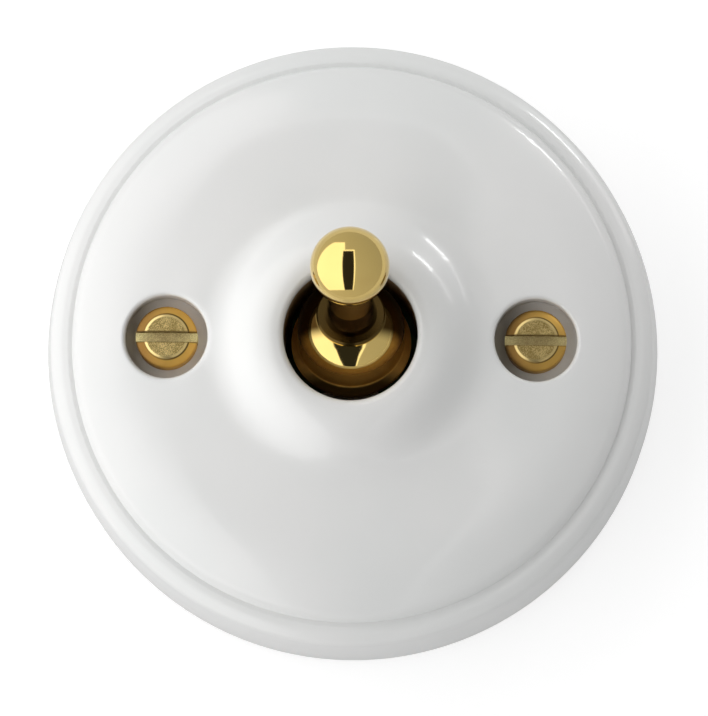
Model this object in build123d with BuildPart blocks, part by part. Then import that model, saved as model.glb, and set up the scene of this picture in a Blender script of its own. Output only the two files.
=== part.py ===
from build123d import *
import os
from math import cos, hypot, radians, sin, sqrt

os.makedirs("parts", exist_ok=True)

# Porcelain base: turned outside, with a flat unglazed ring against the wall
base_d = 65.0
base_straight_h = 8.0  # upright part of the side wall
joint_z = 15.6  # level of the joint between base and cover
joint_in = 2.6  # how far the base draws in from its widest radius up to the joint
foot_edge = 0.8
foot_ring_w = 5.5
back_recess = 0.6  # depth of the back inside the ring
floor_t = 3.0
rim_w = 4.4  # rim that the cover stands on
rim_edge = 0.5

# Porcelain cover: distances run outwards from the hole or inwards from the edge
cover_step = 0.4  # how far the cover's edge stands back from the base's
hole_r = 7.0
hole_edge = 0.6
lip_t = 1.1  # edge of the hole that laps over the shroud
boss_h = 9.6  # heights above the joint
flank_out = 4.3  # steepest part of the raised collar
flank_h = 8.0
foot_out = 6.6  # where the collar runs out
foot_h = 6.0
valley_out = 9.1  # hollow ring round the collar
valley_h = 5.4
plate_in = 9.1
plate_h = 4.7
shoulder_in = 4.5
shoulder_h = 3.6
brow_in = 1.2
brow_h = 1.9
edge_run = 0.25  # lean of the outline at the edge, run to unit drop
cover_wall = 3.2
spigot_h = 1.2
spigot_w = 2.2
spigot_clearance = 0.3

# Cover screws in brass bushes
cover_screw_inset = 10.15  # middle of a screw from the cover's edge
cover_screw_r = 2.0
cover_screw_hole_clearance = 0.3
screw_seat_h = 1.8  # seat of the screw head above the joint
head_r = 3.25
head_side_h = 1.9
crown_r = 2.1  # flat middle of the head
crown_rise = 1.0
crown_bevel_w = 0.3
crown_bevel_h = 0.14
edge_slope = 0.75  # rise per length of the round edge where it meets the crown's bevel
slot_w = 1.1
slot_depth = 0.9
counterbore_clearance = 1.1
counterbore_edge = 0.3
post_r = 4.6
post_drop = 1.9  # top of the base posts below the joint
post_gap = 0.3  # between a base post and the cover's own post above it
bush_r = 2.9
bush_h = 7.0
bush_clearance = 0.05
thread_clearance = 0.05
screw_tip_gap = 1.0  # from the screw's tip to the bottom of its bush

# Holes in the base for the wall screws and the cables
wall_screw_y = 20.5
wall_screw_hole_r = 2.1
wall_screw_head_room = 4.6
cable_x = 9.5
cable_y = -17.0
cable_r = 3.5

# Lever: lengths run along its own axis from the pivot
lever_tilt = 20.0  # lean of the lever to each side, in degrees
pivot_depth = 7.0  # pivot below the top of the collar
dome_rise = 0.5  # foot of the dome above the pivot
dome_r = 5.6
dome_wall_h = 2.6  # upright part of the dome, below its rounded shoulder
dome_h = 5.25
brim_w = 0.7
brim_drop = 0.8  # fall of the brim from the dome to its edge
brim_t = 0.4  # height of the brim's edge
ring_r = 3.6  # raised ring on top of the dome
ring_t = 0.5
ring_edge = 0.15
neck_r = 2.3
neck_foot_r = 2.75
taper_h = 3.0
ball_r = 4.1
ball_rise = 16.5  # centre of the ball above the foot of the dome
recess_r = 4.6  # turned hollow under the dome
recess_h = 4.1
tongue_t = 3.0
tongue_half = 2.9
cam_r = 4.4  # cam radius that stands over the follower at rest
cam_lift = 0.5
cam_half_angle = 32.0
stop_r = 2.7  # radius of the curved stop slot
stop_pin_r = 0.6
stop_clearance = 0.1
lever_pin_r = 1.0
pin_running_clearance = 0.05
pin_press_clearance = 0.02
pin_head_r = 1.6
pin_head_t = 0.4

# Bracket of folded sheet
arm_t = 1.0
arm_side_gap = 0.3  # between the tongue and each arm
arm_eye_r = 2.2
arm_foot_w = 8.0
fold_relief = 0.6
plate_t = 1.2
plate_lug_r = 3.3
bracket_screw_y = 13.0
bracket_screw_r = 1.5
bracket_hole_clearance = 0.1
bracket_head_r = 2.75
bracket_head_h = 1.6
bracket_head_depth = 1.8
bracket_head_clearance = 0.25
small_slot_w = 0.8
spacer_r = 2.8
nut_flats = 5.5
nut_h = 2.4
screw_end = 0.6  # bracket screw beyond its nut

# Shroud round the mechanism
shroud_out = 0.1  # bore of the shroud beyond the cover's hole
shroud_wall = 1.0
shroud_gap = 0.1  # below the lip of the cover's hole
shroud_side_gap = 0.2

# Follower and spring
follower_r = 0.9
follower_clearance = 0.05
follower_gap = 0.08  # running gap under the cam
follower_dome_h = 0.35
flange_r = 1.6
flange_t = 0.5
flange_drop = 0.75  # top of the flange below the follower's tip
spring_r = 1.25
spring_wire_r = 0.17
spring_turns = 3.5
spring_gap = 0.02

# Circuit board and push switch
board_inset = 2.5  # from the cavity's wall
board_gap = 0.4  # pads of the base under the board
board_t = 1.6
board_clearance = 0.5
board_low_y = -16.4
pad_r = 1.8
pad_x = 12.5
pad_y = -2.5
leg_r = 0.4
leg_clearance = 0.1
leg_end = 0.25  # legs below the board
switch_w = 6.0
switch_h = 1.6
switch_leg_pitch = 4.5
button_r = 1.4
button_clearance = 0.05
button_rise = 0.7
button_depth = 0.9  # room for the button's foot below the top of the case
button_floor_gap = 0.1  # left under the button when it is pressed
plate_gap = 0.3  # between the button and the bracket plate

# Power stage: a flat triac on a heat sink, set along the board's edge
stage_inset = 6.2  # middle of the stage from the board's edge
stage_angle = 46.0
sink_margin = 0.2
sink_t = 1.2
fin_h = 7.0
fin_gap = 0.4
triac_w = 8.0
triac_l = 11.0
triac_h = 2.8
triac_edge = 0.3
triac_hole_x = 2.6
triac_leg_pitch = 2.3
triac_leg_w = 0.8
triac_leg_t = 0.6
triac_leg_out = 1.0
triac_leg_h = 1.2
triac_screw_r = 1.5
triac_hole_clearance = 0.15
triac_head_r = 2.5
triac_head_h = 1.8

# Choke: insets run from the board's edge to the middle of a part, angles from +X
choke_inset = 5.7
choke_angle = 133.7
core_r_in = 2.8
core_r_out = 4.8
core_h = 5.2
winding_t = 0.8
winding_clearance = 0.05
winding_arc = 300.0
winding_lift = 0.1

# Small components
capacitor_inset = 3.5
capacitor_angle = 209.0
capacitor_w = 4.0
capacitor_l = 6.0
capacitor_h = 8.5
capacitor_edge = 0.4
capacitor_pitch = 3.5
fuse_inset = 2.95
fuse_angle = -27.0
fuse_r = 2.8
fuse_h = 7.0
fuse_edge = 0.5
fuse_pitch = 2.5
chip_x = -9.0
chip_y = 1.5
chip_l = 5.0
chip_w = 4.0
chip_h = 1.6
chip_leg_pitch = 1.27
chip_leg_w = 0.45
chip_leg_out = 0.9
chip_leg_t = 0.25

# Wire terminals
terminal_inset = 7.6
terminal_angle = -38.7
terminal_w = 5.0
terminal_l = 6.0
terminal_h = 7.0
terminal_edge = 0.3
wire_hole_r = 1.6
wire_hole_h = 2.6
terminal_screw_r = 1.5
terminal_head_r = 2.3
terminal_head_h = 1.6
terminal_leg_r = 0.7

# Levels and radii that follow from the sizes above
base_r = base_d / 2
joint_r = base_r - joint_in
cavity_r = joint_r - rim_w
floor_z = back_recess + floor_t
cover_r = joint_r - cover_step
cover_screw_x = cover_r - cover_screw_inset
crest_z = joint_z + boss_h
ceiling_z = joint_z + valley_h - cover_wall
counterbore_r = head_r + counterbore_clearance
valley_r = hole_r + valley_out
shroud_r = hole_r + shroud_out
sleeve_r = shroud_r + shroud_wall + shroud_side_gap
lip_z = crest_z - lip_t
spigot_r = cavity_r - spigot_clearance
screw_seat_z = joint_z + screw_seat_h
post_top = joint_z - post_drop
bush_z = post_top - bush_h
board_r = cavity_r - board_inset
board_z = floor_z + board_gap
board_top = board_z + board_t
switch_top = board_top + switch_h
button_top = switch_top + button_rise
plate_z = button_top + plate_gap
plate_top = plate_z + plate_t
pivot_z = crest_z - pivot_depth
arm_in = tongue_t / 2 + arm_side_gap
arm_out = arm_in + arm_t
follower_top = pivot_z - cam_r - follower_gap
flange_top = follower_top - flange_drop
flange_z = flange_top - flange_t
leg_tip = board_z - leg_end


def on_board(inset, angle):
    """Place on the board at an angle from +X, in degrees, and a distance in from the board's edge."""
    reach = board_r - inset
    return (reach * cos(radians(angle)), reach * sin(radians(angle)))


# Places that several pieces share
cover_screw_places = [(-cover_screw_x, 0), (cover_screw_x, 0)]
bracket_screw_places = [(0, -bracket_screw_y), (0, bracket_screw_y)]
wall_screw_places = [(0, -wall_screw_y), (0, wall_screw_y)]
cable_places = [(-cable_x, cable_y), (cable_x, cable_y)]
pad_places = [(-pad_x, pad_y), (pad_x, pad_y)]
half_pitch = switch_leg_pitch / 2
switch_leg_places = [(x, y) for x in (-half_pitch, half_pitch) for y in (-half_pitch, half_pitch)]
choke_x, choke_y = on_board(choke_inset, choke_angle)
choke_leg_x = (core_r_in + core_r_out) / 2
choke_leg_places = [(choke_x - choke_leg_x, choke_y), (choke_x + choke_leg_x, choke_y)]
capacitor_x, capacitor_y = on_board(capacitor_inset, capacitor_angle)
capacitor_leg_places = [(capacitor_x, capacitor_y + side * capacitor_pitch / 2) for side in (-1, 1)]
fuse_x, fuse_y = on_board(fuse_inset, fuse_angle)
fuse_leg_places = [(fuse_x, fuse_y + side * fuse_pitch / 2) for side in (-1, 1)]
terminal_x, terminal_y = on_board(terminal_inset, terminal_angle)
terminal_places = [(-terminal_x, terminal_y), (terminal_x, terminal_y)]

# Frames of the lever, leaning towards +Y, and of the power stage
lean = radians(lever_tilt)
lever_axis = Axis((0, 0, pivot_z), (0, sin(lean), cos(lean)))
lever_section = Plane((0, 0, pivot_z), x_dir=(1, 0, 0), z_dir=(0, -cos(lean), sin(lean)))
tongue_plane = Plane((0, 0, pivot_z), x_dir=(0, cos(lean), -sin(lean)), z_dir=(1, 0, 0))
stage_r = board_r - stage_inset
out_x = cos(radians(stage_angle))
out_y = sin(radians(stage_angle))
stage_plane = Plane((stage_r * out_x, stage_r * out_y, board_top), x_dir=(-out_y, out_x, 0), z_dir=(0, 0, 1))


def on_counterbore(edge):
    """True for an edge that runs round the wall of a screw's counterbore."""
    spots = [edge.position_at(step) for step in (0.25, 0.5, 0.75)]
    offsets = [hypot(abs(spot.X) - cover_screw_x, spot.Y) - counterbore_r for spot in spots]
    return max(abs(offset) for offset in offsets) < counterbore_edge / 10


# Porcelain base
with BuildPart() as base:
    with BuildSketch(Plane.XZ):
        with BuildLine():
            Polyline(
                (0, back_recess),
                (base_r - foot_ring_w, back_recess),
                (base_r - foot_ring_w, 0),
                (base_r, 0),
                (base_r, base_straight_h),
            )
            TangentArc((base_r, base_straight_h), (joint_r, joint_z), tangent=(0, 1))
            Polyline(
                (joint_r, joint_z),
                (cavity_r, joint_z),
                (cavity_r, floor_z),
                (0, floor_z),
                (0, back_recess),
            )
        make_face()
        fillet(vertices().sort_by_distance((base_r, 0))[0], foot_edge)
        fillet(vertices().sort_by_distance((joint_r, joint_z))[0], rim_edge)
    revolve(axis=Axis.Z)
    with BuildSketch(Plane.XY.offset(floor_z)):
        with Locations(*cover_screw_places):
            Circle(post_r)
    extrude(amount=post_top - floor_z)
    with BuildSketch(Plane.XY.offset(floor_z)):
        with Locations(*bracket_screw_places):
            Circle(spacer_r)
        with Locations(*pad_places):
            Circle(pad_r)
    extrude(amount=board_gap)
    with BuildSketch(Plane.XY.offset(bush_z)):
        with Locations(*cover_screw_places):
            Circle(bush_r + bush_clearance)
    extrude(amount=bush_h, mode=Mode.SUBTRACT)
    with BuildSketch():
        with Locations(*bracket_screw_places):
            Circle(bracket_screw_r + bracket_hole_clearance)
        with Locations(*wall_screw_places):
            Circle(wall_screw_hole_r)
        with Locations(*cable_places):
            Circle(cable_r)
    extrude(amount=board_z, mode=Mode.SUBTRACT)
    with BuildSketch():
        with Locations(*bracket_screw_places):
            Circle(bracket_head_r + bracket_head_clearance)
    extrude(amount=back_recess + bracket_head_depth, mode=Mode.SUBTRACT)
base.part.label = "porcelain_base"
export_step(base.part, "parts/porcelain_base.step")

# Porcelain cover: one smooth outline over collar, valley, plate and shoulder
shell_r = spigot_r - spigot_w
plate_slope = (valley_h - plate_h) / (cover_r - plate_in - valley_r)
shell_z = ceiling_z - (shell_r - valley_r) * plate_slope
with BuildPart() as cover:
    with BuildSketch(Plane.YZ):
        with BuildLine():
            Polyline((cover_r, joint_z), (spigot_r, joint_z), (spigot_r, joint_z - spigot_h))
            Polyline((spigot_r, joint_z - spigot_h), (shell_r, joint_z - spigot_h), (shell_r, shell_z))
            Polyline((shell_r, shell_z), (valley_r, ceiling_z), (sleeve_r, ceiling_z))
            Polyline((sleeve_r, ceiling_z), (sleeve_r, lip_z), (hole_r, lip_z), (hole_r, crest_z - hole_edge))
            TangentArc((hole_r, crest_z - hole_edge), (hole_r + hole_edge, crest_z), tangent=(0, 1))
            Spline(
                (hole_r + hole_edge, crest_z),
                (hole_r + flank_out, joint_z + flank_h),
                (hole_r + foot_out, joint_z + foot_h),
                (valley_r, joint_z + valley_h),
                (cover_r - plate_in, joint_z + plate_h),
                (cover_r - shoulder_in, joint_z + shoulder_h),
                (cover_r - brow_in, joint_z + brow_h),
                (cover_r, joint_z),
                tangents=((1, 0), (edge_run, -1)),
            )
        make_face()
    revolve(axis=Axis.Z)
    with BuildSketch(Plane.XY.offset(post_top + post_gap)):
        with Locations(*cover_screw_places):
            Circle(post_r)
        Circle(spigot_r, mode=Mode.INTERSECT)
    extrude(amount=ceiling_z - post_top - post_gap)
    with BuildSketch(Plane.XY.offset(screw_seat_z)):
        with Locations(*cover_screw_places):
            Circle(counterbore_r)
    extrude(amount=crest_z - screw_seat_z, mode=Mode.SUBTRACT)
    upper_edges = edges(Select.LAST).filter_by(lambda edge: edge.center().Z > screw_seat_z + counterbore_edge)
    fillet(upper_edges.filter_by(on_counterbore), counterbore_edge)
    with BuildSketch(Plane.XY.offset(post_top)):
        with Locations(*cover_screw_places):
            Circle(cover_screw_r + cover_screw_hole_clearance)
    extrude(amount=crest_z - post_top, mode=Mode.SUBTRACT)
cover.part.label = "porcelain_cover"
export_step(cover.part, "parts/porcelain_cover.step")

# Brass bushes in the base posts
with BuildPart() as bushes:
    with BuildSketch(Plane.XY.offset(bush_z)):
        with Locations(*cover_screw_places):
            Circle(bush_r)
            Circle(cover_screw_r + thread_clearance, mode=Mode.SUBTRACT)
    extrude(amount=bush_h)
bushes.part.label = "threaded_bushes"
export_step(bushes.part, "parts/threaded_bushes.step")

# Cover screws: round-edged heads with a flat middle and a straight slot
screw_axis = Axis((cover_screw_x, 0, 0), (0, 0, 1))
screw_section = Plane((cover_screw_x, 0, screw_seat_z), x_dir=(1, 0, 0), z_dir=(0, -1, 0))
screw_l = screw_seat_z - bush_z - screw_tip_gap
crown_h = head_side_h + crown_rise
bevel_r = crown_r + crown_bevel_w
bevel_h = crown_h - crown_bevel_h
with BuildPart() as screws:
    with BuildSketch(screw_section):
        with BuildLine():
            Polyline((bevel_r, bevel_h), (crown_r, crown_h), (0, crown_h), (0, -screw_l))
            Polyline((0, -screw_l), (cover_screw_r, -screw_l), (cover_screw_r, 0))
            Polyline((cover_screw_r, 0), (head_r, 0), (head_r, head_side_h))
            Spline((head_r, head_side_h), (bevel_r, bevel_h), tangents=((0, 1), (-1, edge_slope)))
        make_face()
    revolve(axis=screw_axis)
    with BuildSketch(Plane.XY.offset(screw_seat_z + crown_h)):
        with Locations((cover_screw_x, 0)):
            Rectangle(2 * head_r + slot_w, slot_w)
    extrude(amount=-slot_depth, mode=Mode.SUBTRACT)
    mirror(about=Plane.YZ)
screws.part.label = "cover_screws"
export_step(screws.part, "parts/cover_screws.step")

# Lever: a turned body on a flat tongue, whose end is the cam
ring_z = dome_rise + dome_h
ring_top = ring_z + ring_t
neck_z = ring_top + taper_h
ball_z = dome_rise + ball_rise
ball_start = ball_z - sqrt(ball_r**2 - neck_r**2)
brim_r = dome_r + brim_w
brim_edge_z = dome_rise - brim_drop
brim_z = brim_edge_z - brim_t
recess_z = brim_z + recess_h


def cam_point(angle):
    """Point of the cam at an angle from the tongue's end, in degrees, positive towards +Y."""
    radius = cam_r + cam_lift * (lever_tilt - angle) / (2 * lever_tilt)
    return (radius * sin(radians(angle)), -radius * cos(radians(angle)))


with BuildPart() as lever:
    with BuildSketch(lever_section):
        with BuildLine():
            Polyline((0, recess_z), (recess_r, recess_z), (recess_r, brim_z), (brim_r, brim_z))
            Polyline((brim_r, brim_z), (brim_r, brim_edge_z), (dome_r, dome_rise))
            Line((dome_r, dome_rise), (dome_r, dome_rise + dome_wall_h))
            TangentArc((dome_r, dome_rise + dome_wall_h), (ring_r, ring_z), tangent=(0, 1))
            Polyline((ring_r, ring_z), (ring_r, ring_top - ring_edge), (ring_r - ring_edge, ring_top))
            Polyline(
                (ring_r - ring_edge, ring_top),
                (neck_foot_r, ring_top),
                (neck_r, neck_z),
                (neck_r, ball_start),
            )
            ThreePointArc((neck_r, ball_start), (ball_r, ball_z), (0, ball_z + ball_r))
            Line((0, ball_z + ball_r), (0, recess_z))
        make_face()
    revolve(axis=lever_axis)
    with BuildSketch(tongue_plane):
        with BuildLine():
            Polyline(
                cam_point(cam_half_angle),
                (tongue_half, recess_z),
                (-tongue_half, recess_z),
                cam_point(-cam_half_angle),
            )
            ThreePointArc(cam_point(-cam_half_angle), cam_point(0), cam_point(cam_half_angle))
        make_face()
        Circle(lever_pin_r + pin_running_clearance, mode=Mode.SUBTRACT)
        with BuildLine(mode=Mode.PRIVATE) as stop_line:
            CenterArc((0, 0), stop_r, -90 - lever_tilt, 2 * lever_tilt)
        SlotArc(stop_line.edge(), 2 * (stop_pin_r + stop_clearance), mode=Mode.SUBTRACT)
    extrude(amount=tongue_t / 2, both=True)
lever.part.label = "toggle_lever"
export_step(lever.part, "parts/toggle_lever.step")

# Pivot pin and stop pin, riveted in the bracket's arms
with BuildPart() as lever_pin:
    with BuildSketch(Plane.YZ):
        with Locations((0, pivot_z)):
            Circle(lever_pin_r)
    extrude(amount=arm_out, both=True)
    with BuildSketch(Plane.YZ.offset(arm_out)):
        with Locations((0, pivot_z)):
            Circle(pin_head_r)
    extrude(amount=pin_head_t)
    mirror(about=Plane.YZ)
lever_pin.part.label = "lever_pin"
export_step(lever_pin.part, "parts/lever_pin.step")

stop_z = pivot_z - stop_r
with BuildPart() as stop_pin:
    with BuildSketch(Plane.YZ):
        with Locations((0, stop_z)):
            Circle(stop_pin_r)
    extrude(amount=arm_out, both=True)
stop_pin.part.label = "stop_pin"
export_step(stop_pin.part, "parts/stop_pin.step")

# Bracket: plate with two lugs, and two arms folded up from it
plate_len = 2 * (bracket_screw_y + plate_lug_r)
notch_w = plate_lug_r + arm_t
with BuildPart() as bracket:
    with BuildSketch(Plane.XY.offset(plate_z)):
        SlotOverall(plate_len, 2 * plate_lug_r, rotation=90)
        with Locations((arm_out + notch_w / 2, 0), (-arm_out - notch_w / 2, 0)):
            Rectangle(notch_w, arm_foot_w + 2 * fold_relief, mode=Mode.SUBTRACT)
        with Locations(*bracket_screw_places):
            Circle(bracket_screw_r + bracket_hole_clearance, mode=Mode.SUBTRACT)
        Circle(follower_r + follower_clearance, mode=Mode.SUBTRACT)
    extrude(amount=plate_t)
    with BuildSketch(Plane.YZ.offset(arm_in)):
        with Locations((0, pivot_z)):
            Circle(arm_eye_r)
        with Locations((0, plate_z)):
            Rectangle(arm_foot_w, plate_t, align=(Align.CENTER, Align.MIN))
        make_hull()
        with Locations((0, pivot_z)):
            Circle(lever_pin_r + pin_press_clearance, mode=Mode.SUBTRACT)
        with Locations((0, stop_z)):
            Circle(stop_pin_r + pin_press_clearance, mode=Mode.SUBTRACT)
    extrude(amount=arm_t)
    mirror(about=Plane.YZ)
bracket.part.label = "lever_bracket"
export_step(bracket.part, "parts/lever_bracket.step")

# Screws, spacers and nuts that clamp board and bracket to the base
bracket_seat_z = back_recess + bracket_head_depth
nut_top = plate_top + nut_h
with BuildPart() as bracket_screws:
    with BuildSketch(Plane.XY.offset(bracket_seat_z - bracket_head_h)):
        with Locations(*bracket_screw_places):
            Circle(bracket_head_r)
    extrude(amount=bracket_head_h)
    with BuildSketch(Plane.XY.offset(bracket_seat_z)):
        with Locations(*bracket_screw_places):
            Circle(bracket_screw_r)
    extrude(amount=nut_top + screw_end - bracket_seat_z)
    with BuildSketch(Plane.XY.offset(bracket_seat_z - bracket_head_h)):
        with Locations(*bracket_screw_places):
            Rectangle(3 * bracket_head_r, small_slot_w)
    extrude(amount=bracket_head_h / 2, mode=Mode.SUBTRACT)
bracket_screws.part.label = "bracket_screws"
export_step(bracket_screws.part, "parts/bracket_screws.step")

with BuildPart() as spacers:
    with BuildSketch(Plane.XY.offset(board_top)):
        with Locations(*bracket_screw_places):
            Circle(spacer_r)
            Circle(bracket_screw_r + bracket_hole_clearance, mode=Mode.SUBTRACT)
    extrude(amount=plate_z - board_top)
spacers.part.label = "bracket_spacers"
export_step(spacers.part, "parts/bracket_spacers.step")

with BuildPart() as nuts:
    with BuildSketch(Plane.XY.offset(plate_top)):
        with Locations(*bracket_screw_places):
            RegularPolygon(nut_flats / 2, 6, major_radius=False)
            Circle(bracket_screw_r + thread_clearance, mode=Mode.SUBTRACT)
    extrude(amount=nut_h)
nuts.part.label = "bracket_nuts"
export_step(nuts.part, "parts/bracket_nuts.step")

# Shroud: stands on the bracket plate and lines the cover's hole up to its lip
with BuildPart() as shroud:
    with BuildSketch(Plane.XY.offset(plate_top)):
        Circle(shroud_r + shroud_wall)
        Circle(shroud_r, mode=Mode.SUBTRACT)
    extrude(amount=lip_z - shroud_gap - plate_top)
shroud.part.label = "insulating_shroud"
export_step(shroud.part, "parts/insulating_shroud.step")

# Follower: round-ended pin with a flange for the spring
with BuildPart() as follower:
    with BuildSketch(Plane.XZ):
        with BuildLine():
            Polyline(
                (0, follower_top),
                (0, button_top),
                (follower_r, button_top),
                (follower_r, flange_z),
                (flange_r, flange_z),
                (flange_r, flange_top),
                (follower_r, flange_top),
                (follower_r, follower_top - follower_dome_h),
            )
            TangentArc((0, follower_top), (follower_r, follower_top - follower_dome_h), tangent=(1, 0))
        make_face()
    revolve(axis=Axis.Z)
follower.part.label = "cam_follower"
export_step(follower.part, "parts/cam_follower.step")

# Coil spring between the bracket plate and the follower's flange
spring_start = plate_top + spring_wire_r + spring_gap
spring_rise = flange_z - spring_wire_r - spring_gap - spring_start
with BuildPart() as spring:
    with BuildLine(Plane.XY.offset(spring_start)) as coil:
        Helix(spring_rise / spring_turns, spring_rise, spring_r)
    with BuildSketch(Plane(coil.line @ 0, z_dir=coil.line % 0)):
        Circle(spring_wire_r)
    sweep()
spring.part.label = "follower_spring"
export_step(spring.part, "parts/follower_spring.step")

# Circuit board: a disc cut away round posts, wall screws and cables
sink_l = triac_l + 2 * sink_margin
sink_w = triac_w + fin_gap + sink_t + sink_margin
triac_y = sink_w / 2 - sink_margin - triac_w / 2
triac_leg_spots = [(-triac_l / 2 - triac_leg_out, triac_y + side * triac_leg_pitch) for side in (-1, 0, 1)]
leg_hole_places = switch_leg_places + choke_leg_places + capacitor_leg_places + fuse_leg_places
with BuildPart() as board:
    with BuildSketch(Plane.XY.offset(board_z)):
        Circle(board_r)
        with Locations((0, board_low_y)):
            Rectangle(2 * board_r, board_r, align=(Align.CENTER, Align.MAX), mode=Mode.SUBTRACT)
        with Locations(*cover_screw_places):
            Circle(post_r + board_clearance, mode=Mode.SUBTRACT)
        with Locations(*wall_screw_places):
            Circle(wall_screw_head_room, mode=Mode.SUBTRACT)
        with Locations(*cable_places):
            Circle(cable_r + board_clearance, mode=Mode.SUBTRACT)
        with Locations(*bracket_screw_places):
            Circle(bracket_screw_r + bracket_hole_clearance, mode=Mode.SUBTRACT)
        with Locations(*leg_hole_places):
            Circle(leg_r + leg_clearance, mode=Mode.SUBTRACT)
        with Locations(*terminal_places):
            Circle(terminal_leg_r + leg_clearance, mode=Mode.SUBTRACT)
    extrude(amount=board_t)
    with BuildSketch(stage_plane):
        with Locations(*triac_leg_spots):
            Rectangle(triac_leg_t + 2 * leg_clearance, triac_leg_w + 2 * leg_clearance)
    extrude(amount=-board_t, mode=Mode.SUBTRACT)
board.part.label = "circuit_board"
export_step(board.part, "parts/circuit_board.step")

# Push switch under the follower
with BuildPart() as switch_case:
    with BuildSketch(Plane.XY.offset(board_top)):
        Rectangle(switch_w, switch_w)
    extrude(amount=switch_h)
    with BuildSketch(Plane.XY.offset(switch_top)):
        Circle(button_r + button_clearance)
    extrude(amount=-button_depth, mode=Mode.SUBTRACT)
switch_case.part.label = "push_switch_case"
export_step(switch_case.part, "parts/push_switch_case.step")

button_foot_z = switch_top - button_depth + cam_lift + button_floor_gap
with BuildPart() as button:
    with BuildSketch(Plane.XY.offset(button_foot_z)):
        Circle(button_r)
    extrude(amount=button_top - button_foot_z)
button.part.label = "push_switch_button"
export_step(button.part, "parts/push_switch_button.step")

with BuildPart() as switch_legs:
    with BuildSketch(Plane.XY.offset(leg_tip)):
        with Locations(*switch_leg_places):
            Circle(leg_r)
    extrude(amount=board_top - leg_tip)
switch_legs.part.label = "push_switch_legs"
export_step(switch_legs.part, "parts/push_switch_legs.step")

# Heat sink: a plate with a fin folded up along its outer edge
with BuildPart() as heat_sink:
    with BuildSketch(stage_plane):
        Rectangle(sink_l, sink_w)
        with Locations((triac_hole_x, triac_y)):
            Circle(triac_screw_r + thread_clearance, mode=Mode.SUBTRACT)
    extrude(amount=sink_t)
    with BuildSketch(stage_plane):
        with Locations((0, -sink_w / 2)):
            Rectangle(sink_l, sink_t, align=(Align.CENTER, Align.MIN))
    extrude(amount=fin_h)
heat_sink.part.label = "heat_sink"
export_step(heat_sink.part, "parts/heat_sink.step")

# Triac: flat body on the heat sink, with three legs bent down to the board
triac_plane = stage_plane.offset(sink_t)
leg_run = triac_leg_out + triac_leg_t / 2
leg_drop = sink_t + triac_leg_h + board_t + leg_end
with BuildPart() as triac:
    with BuildSketch(triac_plane):
        with Locations((0, triac_y)):
            RectangleRounded(triac_l, triac_w, triac_edge)
        with Locations((triac_hole_x, triac_y)):
            Circle(triac_screw_r + triac_hole_clearance, mode=Mode.SUBTRACT)
    extrude(amount=triac_h)
    with BuildSketch(triac_plane.offset(triac_leg_h)):
        with Locations(*[(-triac_l / 2, y) for x, y in triac_leg_spots]):
            Rectangle(leg_run, triac_leg_w, align=(Align.MAX, Align.CENTER))
    extrude(amount=triac_leg_t)
    with BuildSketch(triac_plane.offset(triac_leg_h)):
        with Locations(*triac_leg_spots):
            Rectangle(triac_leg_t, triac_leg_w)
    extrude(amount=-leg_drop)
triac.part.label = "triac"
export_step(triac.part, "parts/triac.step")

with BuildPart() as triac_screw:
    with BuildSketch(stage_plane):
        with Locations((triac_hole_x, triac_y)):
            Circle(triac_screw_r)
    extrude(amount=sink_t + triac_h)
    with BuildSketch(triac_plane.offset(triac_h)):
        with Locations((triac_hole_x, triac_y)):
            Circle(triac_head_r)
    extrude(amount=triac_head_h)
    with BuildSketch(triac_plane.offset(triac_h + triac_head_h)):
        with Locations((triac_hole_x, triac_y)):
            Rectangle(3 * triac_head_r, small_slot_w)
    extrude(amount=-triac_head_h / 2, mode=Mode.SUBTRACT)
triac_screw.part.label = "triac_screw"
export_step(triac_screw.part, "parts/triac_screw.step")

# Choke: ring core inside a winding that leaves a gap in its turns
core_w = core_r_out - core_r_in
core_z = board_top + winding_lift + winding_t
choke_section = Plane((choke_x, choke_y, core_z), x_dir=(1, 0, 0), z_dir=(0, -1, 0))
choke_axis = Axis((choke_x, choke_y, 0), (0, 0, 1))
core_middle = ((core_r_in + core_r_out) / 2, core_h / 2)
with BuildPart() as choke_core:
    with BuildSketch(choke_section):
        with Locations(core_middle):
            Rectangle(core_w, core_h)
    revolve(axis=choke_axis)
choke_core.part.label = "choke_core"
export_step(choke_core.part, "parts/choke_core.step")

winding_grow = 2 * winding_t
winding_room = 2 * winding_clearance
with BuildPart() as winding:
    with BuildSketch(choke_section):
        with Locations(core_middle):
            Rectangle(core_w + winding_grow, core_h + winding_grow)
            Rectangle(core_w + winding_room, core_h + winding_room, mode=Mode.SUBTRACT)
    revolve(axis=choke_axis, revolution_arc=winding_arc)
    with BuildSketch(Plane.XY.offset(leg_tip)):
        with Locations(*choke_leg_places):
            Circle(leg_r)
    extrude(amount=core_z - winding_clearance - leg_tip)
winding.part.label = "choke_winding"
export_step(winding.part, "parts/choke_winding.step")

# Film capacitor, micro fuse and controller chip
with BuildPart() as capacitor:
    with BuildSketch(Plane.XY.offset(board_top)):
        with Locations((capacitor_x, capacitor_y)):
            RectangleRounded(capacitor_w, capacitor_l, capacitor_edge)
    extrude(amount=capacitor_h)
    fillet(faces().sort_by(Axis.Z)[-1].edges(), capacitor_edge / 2)
    with BuildSketch(Plane.XY.offset(board_top)):
        with Locations(*capacitor_leg_places):
            Circle(leg_r)
    extrude(amount=leg_tip - board_top)
capacitor.part.label = "capacitor"
export_step(capacitor.part, "parts/capacitor.step")

with BuildPart() as fuse:
    with BuildSketch(Plane.XY.offset(board_top)):
        with Locations((fuse_x, fuse_y)):
            Circle(fuse_r)
    extrude(amount=fuse_h)
    fillet(faces().sort_by(Axis.Z)[-1].edges(), fuse_edge)
    with BuildSketch(Plane.XY.offset(board_top)):
        with Locations(*fuse_leg_places):
            Circle(leg_r)
    extrude(amount=leg_tip - board_top)
fuse.part.label = "fuse"
export_step(fuse.part, "parts/fuse.step")

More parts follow.
